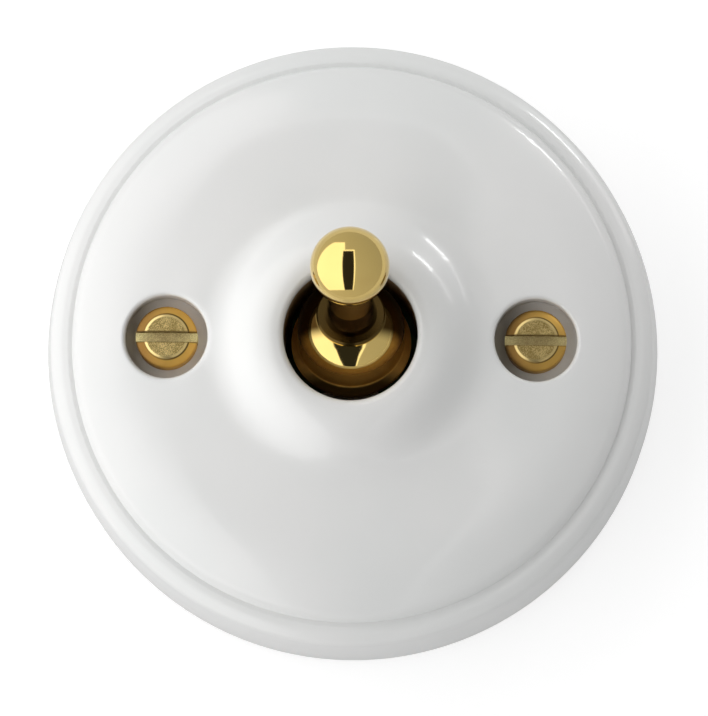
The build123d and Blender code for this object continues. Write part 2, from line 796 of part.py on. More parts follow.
with BuildPart() as chip:
    with BuildSketch(Plane.XY.offset(board_top)):
        with Locations((chip_x, chip_y)):
            Rectangle(chip_l, chip_w)
    extrude(amount=chip_h)
    with BuildSketch(Plane.XY.offset(board_top)):
        with Locations((chip_x, chip_y)):
            with GridLocations(chip_leg_pitch, 1, 4, 1):
                Rectangle(chip_leg_w, chip_w + 2 * chip_leg_out)
    extrude(amount=chip_leg_t)
chip.part.label = "controller_chip"
export_step(chip.part, "parts/controller_chip.step")

# Wire terminals: brass blocks with a cross hole and a clamping screw
terminal_top = board_top + terminal_h
wire_z = board_top + wire_hole_h
for side, node in ((-1, "terminal_left"), (1, "terminal_right")):
    with BuildPart() as terminal:
        with BuildSketch(Plane.XY.offset(board_top)):
            with Locations((side * terminal_x, terminal_y)):
                RectangleRounded(terminal_w, terminal_l, terminal_edge)
        extrude(amount=terminal_h)
        with BuildSketch(Plane.XY.offset(board_top)):
            with Locations((side * terminal_x, terminal_y)):
                Circle(terminal_leg_r)
        extrude(amount=leg_tip - board_top)
        with BuildSketch(Plane.XZ.offset(-terminal_y - terminal_l / 2)):
            with Locations((side * terminal_x, wire_z)):
                Circle(wire_hole_r)
        extrude(amount=terminal_l, mode=Mode.SUBTRACT)
        with BuildSketch(Plane.XY.offset(wire_z)):
            with Locations((side * terminal_x, terminal_y)):
                Circle(terminal_screw_r + thread_clearance)
        extrude(amount=terminal_h, mode=Mode.SUBTRACT)
    terminal.part.label = node
    export_step(terminal.part, f"parts/{node}.step")

with BuildPart() as terminal_screws:
    with BuildSketch(Plane.XY.offset(wire_z)):
        with Locations(*terminal_places):
            Circle(terminal_screw_r)
    extrude(amount=terminal_top - wire_z)
    with BuildSketch(Plane.XY.offset(terminal_top)):
        with Locations(*terminal_places):
            Circle(terminal_head_r)
    extrude(amount=terminal_head_h)
    with BuildSketch(Plane.XY.offset(terminal_top + terminal_head_h)):
        with Locations(*terminal_places):
            Rectangle(3 * terminal_head_r, small_slot_w)
    extrude(amount=-terminal_head_h / 2, mode=Mode.SUBTRACT)
terminal_screws.part.label = "terminal_screws"
export_step(terminal_screws.part, "parts/terminal_screws.step")
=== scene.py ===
import math

import bpy
from mathutils import Matrix, Vector


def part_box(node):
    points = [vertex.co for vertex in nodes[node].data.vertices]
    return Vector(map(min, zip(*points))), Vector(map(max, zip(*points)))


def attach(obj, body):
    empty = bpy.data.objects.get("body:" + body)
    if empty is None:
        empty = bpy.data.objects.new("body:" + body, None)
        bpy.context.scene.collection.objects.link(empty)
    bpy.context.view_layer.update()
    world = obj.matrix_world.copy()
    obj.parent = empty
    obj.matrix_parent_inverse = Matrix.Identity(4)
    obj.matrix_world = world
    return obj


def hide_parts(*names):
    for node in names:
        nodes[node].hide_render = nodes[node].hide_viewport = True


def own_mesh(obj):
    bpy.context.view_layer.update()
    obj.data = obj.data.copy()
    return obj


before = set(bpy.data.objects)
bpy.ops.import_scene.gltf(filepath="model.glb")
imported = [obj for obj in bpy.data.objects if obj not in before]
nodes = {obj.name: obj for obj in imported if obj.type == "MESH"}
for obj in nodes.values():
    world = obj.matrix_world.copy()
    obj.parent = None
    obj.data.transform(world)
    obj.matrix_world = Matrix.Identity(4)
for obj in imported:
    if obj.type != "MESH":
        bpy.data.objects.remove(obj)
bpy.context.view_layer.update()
bpy.ops.object.select_all(action="DESELECT")
print("frame loaded:", len(nodes), "nodes")


class Wire:  # a shader value that can stand in plain sums
    def __init__(self, tree, socket=None):
        self.tree = tree
        self.socket = socket

    def node(self, kind, settings=None, inputs=None, out=0):
        made = self.tree.nodes.new(kind)
        for name, value in (settings or {}).items():
            setattr(made, name, value)
        for name, value in (inputs or {}).items():
            if isinstance(value, Wire):
                self.tree.links.new(value.socket, made.inputs[name])
            else:
                made.inputs[name].default_value = value
        return Wire(self.tree, made.outputs[out])

    def math(self, operation, first, second=0.0):
        return self.node("ShaderNodeMath", {"operation": operation}, {0: first, 1: second})

    def __add__(self, other):
        return self.math("ADD", self, other)

    def __radd__(self, other):
        return self.math("ADD", other, self)

    def __sub__(self, other):
        return self.math("SUBTRACT", self, other)

    def __rsub__(self, other):
        return self.math("SUBTRACT", other, self)

    def __mul__(self, other):
        return self.math("MULTIPLY", self, other)

    def __rmul__(self, other):
        return self.math("MULTIPLY", other, self)

    def __truediv__(self, other):
        return self.math("DIVIDE", self, other)

    def __pow__(self, other):
        return self.math("POWER", self, other)

    def __abs__(self):
        return self.math("ABSOLUTE", self)

    def over(self, low, high):  # 0 below low, 1 above high, smooth between
        ends = {"Value": self, "From Min": low, "From Max": high}
        return self.node("ShaderNodeMapRange", {"interpolation_type": "SMOOTHSTEP"}, ends)

    def parts(self):  # x, y and z of a vector
        split = self.node("ShaderNodeSeparateXYZ", inputs={"Vector": self}).socket.node
        return [Wire(self.tree, socket) for socket in split.outputs]

    def dot(self, direction):
        inputs = {0: self, 1: direction}
        return self.node("ShaderNodeVectorMath", {"operation": "DOT_PRODUCT"}, inputs, "Value")

    def noise(self, scale, detail=2.0, rough=0.5):
        inputs = {"Vector": self, "Scale": scale, "Detail": detail, "Roughness": rough}
        return self.node("ShaderNodeTexNoise", inputs=inputs)

    def blend(self, first, second):  # colours, by this value
        return self.node("ShaderNodeMix", {"data_type": "RGBA"}, {0: self, 6: first, 7: second}, 2)

    def bump(self, depth, strength=1.0):  # this value as a height, depth in metres
        inputs = {"Height": self, "Distance": depth, "Strength": strength}
        return self.node("ShaderNodeBump", inputs=inputs)

    def feed(self, shader, name):
        self.tree.links.new(self.socket, shader.inputs[name])


def newFinish(name, fixed):  # material, its shader and the object's own coordinates
    material = bpy.data.materials.new(name)
    material.use_nodes = True
    tree = material.node_tree
    shader = tree.nodes["Principled BSDF"]
    for socket, value in fixed.items():
        shader.inputs[socket].default_value = value
    place = Wire(tree).node("ShaderNodeTexCoord", out="Object")
    return material, shader, place


def dress(material, *names):
    for name in names:
        nodes[name].data.materials.clear()
        nodes[name].data.materials.append(material)


# Camera, from the photograph's circles: it looks a little up at the dimmer on its wall
view = {
    "aim": (0.00026, -0.00148, 0.015),
    "below": 6.45,  # degrees below the dimmer's axis
    "aside": 0.85,  # degrees to the right
    "roll": 0.65,
    "distance": 0.6465,
    "lens": 311.6,
    "sensor": 36.0,
}
below = math.radians(view["below"])
aside = math.radians(view["aside"])
roll = math.radians(view["roll"])
forward = math.cos(below)
toCamera = Vector((math.sin(aside) * forward, -math.sin(below), math.cos(aside) * forward))
level = Vector((0, 1, 0)).cross(toCamera).normalized()
upright = toCamera.cross(level)
screenRight = level * math.cos(roll) + upright * math.sin(roll)
screenUp = upright * math.cos(roll) - level * math.sin(roll)


def standing(right, up, back, spot):  # place of a camera or lamp that looks along -back
    return Matrix([(right[i], up[i], back[i], spot[i]) for i in range(3)] + [(0, 0, 0, 1)])


cameraData = bpy.data.cameras.new("camera")
cameraData.sensor_fit = "HORIZONTAL"
cameraData.sensor_width = view["sensor"]
cameraData.lens = view["lens"]
camera = bpy.data.objects.new("camera", cameraData)
bpy.context.scene.collection.objects.link(camera)
cameraSpot = Vector(view["aim"]) + toCamera * view["distance"]
camera.matrix_world = standing(screenRight, screenUp, toCamera, cameraSpot)
bpy.context.scene.camera = camera
bpy.context.scene.view_settings.view_transform = "Standard"
print("camera set")


# Studio: a bright panel on the left and a camera stand before it, as the lever's ball shows them
studio = {
    "room": 0.585,
    "fall": 0.24,  # the room is darker on the right
    "sink": 0.12,  # and brighter below
    "panel": 1.68,
    "stand": 0.03,
    "panelRight": -0.12,  # places on the ball, in shares of its radius
    "panelTop": 0.59,
    "panelFoot": -0.60,
    "panelRound": (-0.07, -0.09, 0.75),  # middle and radius of its rounded upper corner
    "standLeft": -0.185,
    "standRight": 0.11,
    "standTop": 0.375,
    "standRim": 0.03,
    "bulge": 0.9,  # the stand's sides bend outwards at the middle of the ball
    "edge": 0.012,
}


def lightStudio():
    world = bpy.data.worlds.new("studio")
    world.use_nodes = True
    tree = world.node_tree
    tree.nodes.clear()
    ray = Wire(tree).node("ShaderNodeTexCoord", out="Generated")
    half = ray.node("ShaderNodeVectorMath", {"operation": "ADD"}, {0: ray, 1: toCamera})
    facing = half.node("ShaderNodeVectorMath", {"operation": "NORMALIZE"}, {0: half})
    across = facing.dot(screenRight)
    height = facing.dot(screenUp)
    bent = across / (1 - height * height * studio["bulge"])

    def between(value, low, high):
        edge = studio["edge"]
        return value.over(low - edge, low + edge) * (1 - value.over(high - edge, high + edge))

    roundAcross, roundHeight, roundReach = studio["panelRound"]
    beside = across - roundAcross
    above = height - roundHeight
    tall = between(height, studio["panelFoot"], studio["panelTop"])
    tall = tall * between(across, -2, studio["panelRight"])  # no end on the left
    tall = tall * between((beside * beside + above * above) ** 0.5, -1, roundReach)
    rim = studio["standRim"]
    short = between(height, studio["panelFoot"], studio["standTop"] + rim)
    short = short * between(bent, studio["standLeft"], studio["standRight"] + rim)
    lit = tall.math("MAXIMUM", tall, short)
    stand = between(height, studio["panelFoot"], studio["standTop"])
    stand = stand * between(bent, studio["standLeft"], studio["standRight"])
    room = studio["room"] * (1 - across * studio["fall"] - height * studio["sink"])
    light = room * (1 - lit) + lit * studio["panel"]
    light = light * (1 - stand) + stand * studio["stand"]
    seen = Wire(tree).node("ShaderNodeLightPath", out="Is Camera Ray")
    light = light * (1 - seen) + seen
    shine = light.node("ShaderNodeBackground", inputs={"Color": (1, 1, 1, 1), "Strength": light})
    output = tree.nodes.new("ShaderNodeOutputWorld")
    tree.links.new(shine.socket, output.inputs["Surface"])
    bpy.context.scene.world = world


# Strip lamps low on the upper right, whose streaks lie on the collar's flank
stripLamps = {
    "target": (0.008, 0.008, 0.022),
    "steep": 0.688,  # tilt of the glaze that mirrors them, as a share of the ball's radius
    "distance": 0.25,
    "width": 0.03,
    "strips": [(51.0, 0.06, 14.5), (34.0, 0.09, 2.2)],  # angle from the right, length, brightness
}


def hangStrips():
    lit = bpy.data.collections.new("litByStrips")
    lean = stripLamps["steep"]
    for turn, length, glow in stripLamps["strips"]:
        turn = math.radians(turn)
        out = screenRight * math.cos(turn) + screenUp * math.sin(turn)
        along = screenUp * math.cos(turn) - screenRight * math.sin(turn)
        mirrored = out * lean + toCamera * math.sqrt(1 - lean * lean)
        towards = mirrored * 2 * mirrored.dot(toCamera) - toCamera
        lamp = bpy.data.lights.new("stripLamp", "AREA")
        lamp.shape = "RECTANGLE"
        lamp.size = stripLamps["width"]
        lamp.size_y = length
        lamp.energy = glow * math.pi * stripLamps["width"] * length
        strip = bpy.data.objects.new("stripLamp", lamp)
        bpy.context.scene.collection.objects.link(strip)
        spot = Vector(stripLamps["target"]) + towards * stripLamps["distance"]
        strip.matrix_world = standing(along.cross(towards), along, towards, spot)
        strip.light_linking.receiver_collection = lit
    return lit


# Floor: the wall that the dimmer stands on, white to the camera and grey in the brass
floorPlan = {
    "radius": 0.105,
    "sides": 96,
    "drop": 0.0002,
    "colour": (0.45, 0.45, 0.45, 1),
    "glow": 0.7,
    "mirrored": 0.35,
}


def layFloor():
    bpy.ops.mesh.primitive_circle_add(
        vertices=floorPlan["sides"],
        radius=floorPlan["radius"],
        fill_type="NGON",
        location=(0, 0, -floorPlan["drop"]),
    )
    floor = bpy.context.object
    floor.name = "floor"
    material = bpy.data.materials.new("whiteFloor")
    material.use_nodes = True
    tree = material.node_tree
    tree.nodes.clear()
    path = tree.nodes.new("ShaderNodeLightPath")
    straight, glossy, through = [
        Wire(tree, path.outputs[name]) for name in ("Is Camera Ray", "Is Glossy Ray", "Is Transmission Ray")
    ]
    shown = (straight + through) * floorPlan["glow"] + glossy * floorPlan["mirrored"]
    matt = shown.node("ShaderNodeBsdfDiffuse", inputs={"Color": floorPlan["colour"]})
    glow = shown.node("ShaderNodeEmission", inputs={"Strength": shown})
    both = shown.node("ShaderNodeAddShader", inputs={0: matt, 1: glow})
    output = tree.nodes.new("ShaderNodeOutputMaterial")
    tree.links.new(both.socket, output.inputs["Surface"])
    floor.data.materials.append(material)


lightStudio()
litByStrips = hangStrips()
layFloor()
print("studio, strip lamps and floor set")


# Porcelain: white body under a clear glaze, bare on the ring that stands on the wall, with painted shade in
# the screw seats
glaze = {
    "pale": (0.86, 0.86, 0.85, 1),
    "deep": (0.82, 0.83, 0.82, 1),
    "bare": (0.74, 0.72, 0.67, 1),
    # painted shade: colour of the screw seats, where they lie in shade
    "seatShade": (0.47, 0.43, 0.35, 1),
    "speck": (0.16, 0.14, 0.12, 1),
    "specks": [(-0.0070, 0.0252, 0.0196, 0.00016), (0.0184, -0.0142, 0.0203, 0.0001)],  # place and radius
    "speckEdge": (0.6, 1.4),  # shares of the radius
    "clouds": (45.0, 0.35, 0.7),  # scale, and noise at which the deep tint begins and is full
    "bareTop": 0.0007,
    "bareEdge": 0.0003,
    "bareGrain": (2500.0, 0.5),  # scale, and height as a share of the waves
    "bareRough": 0.85,
    "seat": 0.0174,  # the screw heads stand on it
    "seatRise": 0.0026,
    "seatReach": (0.0043, 0.0046),
    "shadeSpread": (-0.0046, 0.0022),  # painted shade, from the left, where it is darkest
    "holeReach": 0.0070,
    "holeSoft": (0.0014, 0.00026),  # width and depth of the rounding round the lever hole
    "boreReach": 0.0044,
    "boreSoft": (0.0006, 0.00014),
    "crestBand": (0.002, 0.0015),  # below the collar's top, where that rounding begins and is full
    "gloss": 0.29,
    "smear": (140.0, 0.06),  # scale and added roughness
    "coat": 0.42,
    "waves": 95.0,
    "wave": 0.00004,
}


screwSplit = (-0.0001, 0.0001)  # the left screw's half of the dimmer ends, the right one's begins


def fromScrew(x, y):  # offset to the right of the nearer cover screw, and distance from its axis
    low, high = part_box("cover_screws")
    screwX = high.x - (high.y - low.y) / 2  # a head is as wide as the node is deep
    side = x.over(*screwSplit) * 2 - 1
    offset = x - side * screwX
    return offset, (offset * offset + y * y) ** 0.5


def glazedPorcelain():
    fixed = {"IOR": 1.5, "Coat Roughness": 0.06, "Coat IOR": 1.5}
    material, shader, place = newFinish("glazedPorcelain", fixed)
    x, y, z = place.parts()
    scale, begin, full = glaze["clouds"]
    colour = place.noise(scale, 3.0).over(begin, full).blend(glaze["pale"], glaze["deep"])
    inside, outside = glaze["speckEdge"]
    for *spot, radius in glaze["specks"]:
        away = place.node("ShaderNodeVectorMath", {"operation": "DISTANCE"}, {0: place, 1: spot}, "Value")
        colour = away.over(radius * inside, radius * outside).blend(glaze["speck"], colour)
    offset, reach = fromScrew(x, y)
    # painted shade in the screw seats, darkest on their left side
    deep = 1 - z.over(glaze["seat"], glaze["seat"] + glaze["seatRise"])
    deep = deep * (1 - reach.over(*glaze["seatReach"]))
    shadedLeft = 1 - offset.over(*glaze["shadeSpread"])
    colour = (deep * shadedLeft).blend(colour, glaze["seatShade"])
    scale, height = glaze["bareGrain"]
    grain = place.noise(scale, 4.0, 0.6)
    bare = 1 - z.over(glaze["bareTop"], glaze["bareTop"] + glaze["bareEdge"])
    bareColour = grain.blend(glaze["bare"], glaze["pale"])
    bare.blend(colour, bareColour).feed(shader, "Base Color")
    scale, added = glaze["smear"]
    gloss = glaze["gloss"] + place.noise(scale, 2.0) * added
    (gloss * (1 - bare) + bare * glaze["bareRough"]).feed(shader, "Roughness")
    (glaze["coat"] * (1 - bare)).feed(shader, "Coat Weight")
    wave = place.noise(glaze["waves"], 2.0) * (1 - bare) + grain * bare * height

    def softened(away, radius, soft):  # height of an edge that is rounded over
        width, depth = soft
        share = 1 - (away - radius) / width
        return share.math("MAXIMUM", share, 0.0) ** 2 * depth

    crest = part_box("porcelain_cover")[1].z
    middle = (x * x + y * y) ** 0.5
    low, high = [crest - below for below in glaze["crestBand"]]
    drop = softened(middle, glaze["holeReach"], glaze["holeSoft"]) * z.over(low, high)
    rims = softened(reach, glaze["boreReach"], glaze["boreSoft"]) * (1 - deep) * (1 - bare)
    (wave * glaze["wave"] - drop - rims).bump(1.0).feed(shader, "Normal")
    return material


# Brass of the lever: polished on ball and dome, with painted shade and dark reflections on the brim's
# front, the dome's back, the ring, the taper and the neck
leverBrass = {
    "gold": (0.78, 0.58, 0.20, 1),
    "warm": (0.73, 0.53, 0.18, 1),
    # painted shade: the colour that stands in for shade and dark reflections
    "shadeBrown": (0.050, 0.026, 0.006, 1),
    "lean": 20.0,  # degrees, at rest
    "pivot": (0, 0, 0.0182),
    "shadeZones": [  # painted shade and dark reflections: heights, amounts in front and behind, where they change, and added roughness
        (-0.0010, 0.0004, 0.97, 0.0, -0.0052, -0.0030, 0.5),  # brim
        (0.0030, 0.0058, 0.0, 1.0, -0.0028, -0.0012, 0.0),  # dome
        (0.0059, 0.00635, 0.94, 0.94, 0.0, 0.001, 0.18),  # ring
        (0.00635, 0.0093, 1.0, 1.0, 0.0, 0.001, 0.1),  # taper
        (0.0093, 0.0135, 0.68, 0.68, 0.0, 0.001, 0.1),  # neck
    ],
    "fade": 0.0001,
    "clouds": (160.0, 0.4, 0.75),  # scale, and noise at which the warm tint begins and is full
    "gloss": 0.06,
    "smear": (320.0, 0.45, 0.8, 0.05),  # scale, begin, full and added roughness
    "satin": 0.36,  # on the dome's upright wall and its brim
    "satinFade": (0.0028, 0.0038),
    "lines": 0.0000006,  # depth of the lathe's lines
    "lineScale": 9000.0,
}


def polishedBrass():
    material, shader, place = newFinish("polishedBrass", {"Metallic": 1.0})
    turn = (math.radians(-leverBrass["lean"]), 0, 0)
    inputs = {"Vector": place, "Location": leverBrass["pivot"], "Rotation": turn}
    along = place.node("ShaderNodeMapping", {"vector_type": "TEXTURE"}, inputs)
    back, h = along.parts()[1:]
    scale, begin, full = leverBrass["clouds"]
    colour = place.noise(scale, 3.0).over(begin, full).blend(leverBrass["gold"], leverBrass["warm"])
    fade = leverBrass["fade"]
    matt = (1 - h.over(*leverBrass["satinFade"])) * (leverBrass["satin"] - leverBrass["gloss"])
    # painted shade and dark reflections, blended in by height and by front or back
    for low, high, front, behind, start, end, added in leverBrass["shadeZones"]:
        amount = front + back.over(start, end) * (behind - front)
        inside = h.over(low - fade, low + fade) * (1 - h.over(high - fade, high + fade))
        colour = (inside * amount).blend(colour, leverBrass["shadeBrown"])
        matt = matt + inside * added
    colour.feed(shader, "Base Color")
    scale, begin, full, added = leverBrass["smear"]
    smear = place.noise(scale, 4.0, 0.6).over(begin, full) * added
    (leverBrass["gloss"] + smear + matt).feed(shader, "Roughness")
    inputs = {"W": h * leverBrass["lineScale"], "Detail": 2.0, "Scale": 1.0}
    lines = h.node("ShaderNodeTexNoise", {"noise_dimensions": "1D"}, inputs)
    lines.bump(leverBrass["lines"]).feed(shader, "Normal")
    return material


# Brass of the cover screws: fine grain in the middle, smooth edge, dark lines along the slot and round the
# bevel, painted shade on the edge's left and the bevel line's right, painted light at the slot's ends
screwBrass = {
    "edge": (0.74, 0.44, 0.09, 1),
    # painted shade: the edge is darker on its left side
    "edgeShadeLeft": (0.24, 0.11, 0.02, 1),
    "edgeTurn": (-0.0026, 0.0012),  # from left to right, where one becomes the other
    "slot": (0.95, 0.84, 0.42, 1),
    "slotDull": (0.58, 0.45, 0.22, 1),
    "slotEndLight": (0.0008, 0.0028),  # painted light: brighter towards the ends
    "bright": (0.88, 0.68, 0.29, 1),
    "dull": (0.42, 0.30, 0.10, 1),
    "dirtAndShade": (0.14, 0.095, 0.035, 1),
    "crown": 0.0021,
    "bevel": 0.0024,
    "slotHalf": 0.00055,
    "line": 0.00012,
    "grainScale": 9000.0,
    "patchScale": 1300.0,
    "mottle": (0.42, 0.60),
    "mottleShares": (0.75, 0.25),  # of grain and patches
    "slotShares": (0.6, 0.4),  # of mottle and the painted light at the ends
    "smoothTone": 0.8,
    "edgeTone": 0.9,
    "slotEdgeDark": 0.6,
    "footDirtAndShade": (0.3, 0.65),  # dirt all round, and painted shade added on the right
    "lineCore": 0.4,
    "grain": 0.000028,
    "polish": 0.9,  # share of the grain that the smooth edge loses
    "rough": 0.40,
    "roughSmooth": 0.12,
    "roughEdge": 0.22,
    "roughSlot": 0.15,
    "roughGrain": 0.1,
    "tarnish": 0.3,  # of the right screw
}


def castBrass():
    material, shader, place = newFinish("castBrass", {"Metallic": 1.0})
    x, y = place.parts()[:2]
    offset, reach = fromScrew(x, y)
    right = offset.over(*screwBrass["edgeTurn"])
    line, slotHalf, bevel = screwBrass["line"], screwBrass["slotHalf"], screwBrass["bevel"]
    inSlot = 1 - abs(y).over(slotHalf - line, slotHalf)
    smooth = reach.over(screwBrass["crown"] - line, screwBrass["crown"]) * (1 - inSlot)
    edge = reach.over(bevel - line, bevel) * (1 - inSlot)
    grain = place.noise(screwBrass["grainScale"], 3.0, 0.6)
    patch = place.noise(screwBrass["patchScale"], 2.0)
    most, rest = screwBrass["mottleShares"]
    mottle = (grain * most + patch * rest).over(*screwBrass["mottle"])
    tone = mottle.blend(screwBrass["dull"], screwBrass["bright"])
    # painted light: the slot's floor brighter towards its ends
    ends = abs(offset).over(*screwBrass["slotEndLight"])
    most, rest = screwBrass["slotShares"]
    slotTone = (mottle * most + ends * rest).blend(screwBrass["slotDull"], screwBrass["slot"])
    tone = inSlot.blend(tone, slotTone)
    tone = (smooth * screwBrass["smoothTone"]).blend(tone, screwBrass["bright"])
    # painted shade: the edge darkens towards its left
    edgeTone = right.blend(screwBrass["edgeShadeLeft"], screwBrass["edge"])
    tone = (edge * screwBrass["edgeTone"]).blend(tone, edgeTone)
    core = line * screwBrass["lineCore"]
    slotSide = 1 - abs(abs(y) - slotHalf).over(core, line)
    # a dark line round the bevel: dirt all round, with painted shade added on the right
    always, added = screwBrass["footDirtAndShade"]
    foot = (1 - abs(reach - bevel).over(core, line)) * (always + right * added)
    # dark lines along the slot's sides and the bevel's line, then the right screw's tarnish
    dirtAndShade = slotSide.math("MAXIMUM", slotSide * screwBrass["slotEdgeDark"], foot * (1 - inSlot))
    older = x.over(*screwSplit) * screwBrass["tarnish"]
    dirtAndShade = dirtAndShade.math("MAXIMUM", dirtAndShade, older)
    dirtAndShade.blend(tone, screwBrass["dirtAndShade"]).feed(shader, "Base Color")
    rough = screwBrass["rough"] - smooth * screwBrass["roughSmooth"] + edge * screwBrass["roughEdge"]
    rough = rough + inSlot * screwBrass["roughSlot"] + grain * screwBrass["roughGrain"]
    rough.feed(shader, "Roughness")
    (grain * (1 - smooth * screwBrass["polish"])).bump(screwBrass["grain"]).feed(shader, "Normal")
    return material


# Metals inside: light and dark tone, roughness, scale of the drawn grain
insideMetal = {
    "turnedBrass": ((0.80, 0.60, 0.24, 1), (0.62, 0.44, 0.16, 1), 0.28, 900.0),
    "platedSteel": ((0.62, 0.62, 0.63, 1), (0.46, 0.47, 0.50, 1), 0.34, 500.0),
    "springWire": ((0.50, 0.50, 0.51, 1), (0.33, 0.33, 0.34, 1), 0.30, 1400.0),
    "tinnedWire": ((0.70, 0.70, 0.68, 1), (0.55, 0.55, 0.55, 1), 0.38, 1200.0),
    "sheetAluminium": ((0.74, 0.74, 0.75, 1), (0.60, 0.60, 0.61, 1), 0.36, 700.0),
}


drawnGrain = {"stretch": (1, 1, 9), "tone": (0.3, 0.75), "rough": 0.12, "depth": 0.00001}


def innerMetal(name):
    light, dark, gloss, scale = insideMetal[name]
    material, shader, place = newFinish(name, {"Metallic": 1.0})
    stretched = place.node("ShaderNodeMapping", inputs={"Vector": place, "Scale": drawnGrain["stretch"]})
    drawn = stretched.noise(scale, 3.0, 0.6)
    drawn.over(*drawnGrain["tone"]).blend(light, dark).feed(shader, "Base Color")
    (gloss + drawn * drawnGrain["rough"]).feed(shader, "Roughness")
    drawn.bump(drawnGrain["depth"]).feed(shader, "Normal")
    return material


# Moulded and fired parts inside: light and dark tone, roughness, scale and depth of the grain
mouldings = {
    "brownFibre": ((0.56, 0.38, 0.20, 1), (0.46, 0.31, 0.16, 1), 0.45, 1500.0, 0.00002),
    "blackMoulding": ((0.028, 0.028, 0.030, 1), (0.050, 0.050, 0.052, 1), 0.55, 2600.0, 0.00002),
    "whiteMoulding": ((0.80, 0.80, 0.76, 1), (0.74, 0.74, 0.70, 1), 0.32, 600.0, 0.000008),
    "ferrite": ((0.075, 0.075, 0.080, 1), (0.13, 0.13, 0.13, 1), 0.62, 3200.0, 0.00003),
    "capacitorBox": ((0.60, 0.10, 0.06, 1), (0.52, 0.075, 0.045, 1), 0.30, 800.0, 0.000012),
    "fuseCase": ((0.30, 0.19, 0.09, 1), (0.24, 0.15, 0.07, 1), 0.34, 800.0, 0.000012),
}


mouldGrain = {"tone": (0.3, 0.7), "rough": 0.1}


def moulded(name):
    light, dark, gloss, scale, depth = mouldings[name]
    material, shader, place = newFinish(name, {"IOR": 1.5})
    grain = place.noise(scale, 3.0, 0.6)
    grain.over(*mouldGrain["tone"]).blend(light, dark).feed(shader, "Base Color")
    (gloss + grain * mouldGrain["rough"]).feed(shader, "Roughness")
    grain.bump(depth).feed(shader, "Normal")
    return material


# Board: green lacquer over woven glass, with paler copper runs under it
boardLook = {
    "lacquer": (0.030, 0.17, 0.065, 1),
    "run": (0.075, 0.29, 0.10, 1),
    "edge": (0.42, 0.44, 0.24, 1),
    "weave": 0.0006,
    "runs": 0.0032,
    "runEdge": (0.55, 0.62),
    "bend": (90.0, 2.0),  # scale and strength of the runs' bends
    "faceSkin": (0.00001, 0.00003),
    "rough": (0.34, 0.08, 0.3),  # plain, added by the weave, added on the cut edge
    "relief": 0.00003,
    "reliefShares": (0.7, 0.3),  # of runs and weave
}


def greenBoard():
    material, shader, place = newFinish("greenBoard", {"IOR": 1.5})
    low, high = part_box("circuit_board")
    x, y, z = place.parts()
    warp = x.math("PINGPONG", x / boardLook["weave"], 1.0)
    weft = y.math("PINGPONG", y / boardLook["weave"], 1.0)
    weave = warp * weft
    scale, strength = boardLook["bend"]
    lane = (x + y) / boardLook["runs"] + place.noise(scale, 1.0) * strength
    run = lane.math("PINGPONG", lane, 1.0).over(*boardLook["runEdge"])
    thin, thick = boardLook["faceSkin"]
    face = z.over(high.z - thick, high.z - thin) + (1 - z.over(low.z + thin, low.z + thick))
    top = run.blend(boardLook["lacquer"], boardLook["run"])
    face.blend(boardLook["edge"], top).feed(shader, "Base Color")
    plain, woven, cut = boardLook["rough"]
    (plain + weave * woven + (1 - face) * cut).feed(shader, "Roughness")
    most, rest = boardLook["reliefShares"]
    (run * most + weave * rest).bump(boardLook["relief"]).feed(shader, "Normal")
    return material


# Enamelled copper wire: pairs are a plain value and what the noise adds
enamel = {
    "bright": (0.72, 0.30, 0.12, 1),
    "dark": (0.52, 0.19, 0.07, 1),
    "scale": 900.0,
    "tone": (0.3, 0.7),  # noise at which the dark tone begins and is full
    "rough": (0.25, 0.1),
    "coat": (0.5, 0.3),
}


def enamelWire():
    material, shader, place = newFinish("enamelWire", {"Metallic": 1.0, "Coat Roughness": 0.1})
    shade = place.noise(enamel["scale"], 2.0)
    shade.over(*enamel["tone"]).blend(enamel["bright"], enamel["dark"]).feed(shader, "Base Color")
    for socket, (plain, added) in {"Roughness": enamel["rough"], "Coat Weight": enamel["coat"]}.items():
        (plain + shade * added).feed(shader, socket)
    return material


porcelain = glazedPorcelain()
dress(porcelain, "porcelain_base", "porcelain_cover")
leverFinish = polishedBrass()
dress(leverFinish, "toggle_lever")
dress(castBrass(), "cover_screws")
dress(innerMetal("turnedBrass"), "threaded_bushes", "bracket_spacers", "terminal_left", "terminal_right")
platedSteel = innerMetal("platedSteel")
dress(platedSteel, "lever_pin", "stop_pin", "lever_bracket", "bracket_screws", "bracket_nuts")
dress(platedSteel, "triac_screw", "terminal_screws")
springFinish = innerMetal("springWire")
dress(springFinish, "follower_spring")
dress(innerMetal("tinnedWire"), "push_switch_legs")
dress(innerMetal("sheetAluminium"), "heat_sink")
dress(moulded("brownFibre"), "insulating_shroud")
dress(moulded("blackMoulding"), "push_switch_case", "triac", "controller_chip")
dress(moulded("whiteMoulding"), "cam_follower", "push_switch_button")
dress(moulded("ferrite"), "choke_core")
dress(moulded("capacitorBox"), "capacitor")
dress(moulded("fuseCase"), "fuse")
dress(greenBoard(), "circuit_board")
enamelFinish = enamelWire()
dress(enamelFinish, "choke_winding")
print("finishes on the nodes")


meshCare = {"smoothAngle": 40.0, "merge": 0.000002}  # degrees and metres


def wholePiece(name, finish):  # the active mesh as a finished piece
    piece = bpy.context.object
    piece.name = name
    piece.data.materials.clear()
    piece.data.materials.append(finish)
    bpy.ops.object.shade_smooth_by_angle(angle=math.radians(meshCare["smoothAngle"]))
    bpy.ops.object.select_all(action="DESELECT")
    return piece


